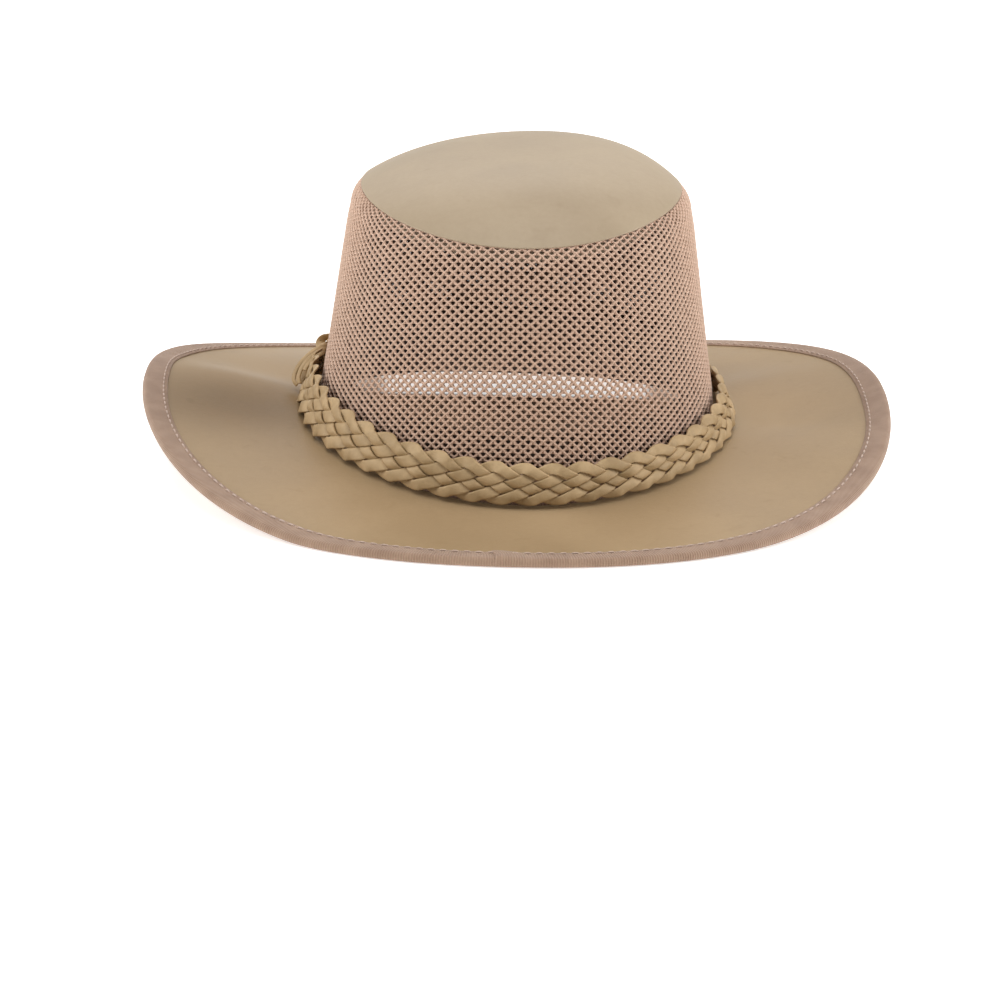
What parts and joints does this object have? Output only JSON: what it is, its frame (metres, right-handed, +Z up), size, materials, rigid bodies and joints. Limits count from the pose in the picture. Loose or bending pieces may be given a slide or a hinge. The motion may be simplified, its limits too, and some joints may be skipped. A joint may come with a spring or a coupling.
{
  "type": "bush hat",
  "caption": "Wide-brimmed bush hat with a domed oval leather tip, an airy knitted mesh wall, a bound curling brim and a plaited leather band.",
  "frame": {"origin": "on the surface that the hat rests on, under the middle of the crown", "axes": "+Z up, +Y towards the hat's front, +X towards the wearer's right"},
  "size_m": [0.3208, 0.3482, 0.1316],
  "materials": {
    "tip_leather": "smooth nubuck with a soft sheen",
    "brim_leather": "smooth waxed leather with a soft sheen",
    "mesh_yarn": "matt knitted yarn with open holes",
    "ribbed_tape": "ribbed woven tape",
    "band_leather": "flat cut thongs, satin",
    "sweatband_leather": "dark matt leather"
  },
  "bodies": {
    "root": {"crown_tip": "tip_leather", "crown_mesh": "mesh_yarn", "sweatband": "sweatband_leather", "brim": "brim_leather", "brim_binding": "ribbed_tape", "plaited_band": "band_leather", "tie_wrap": "band_leather", "tie_end": "band_leather"}
  },
  "joints": []
}
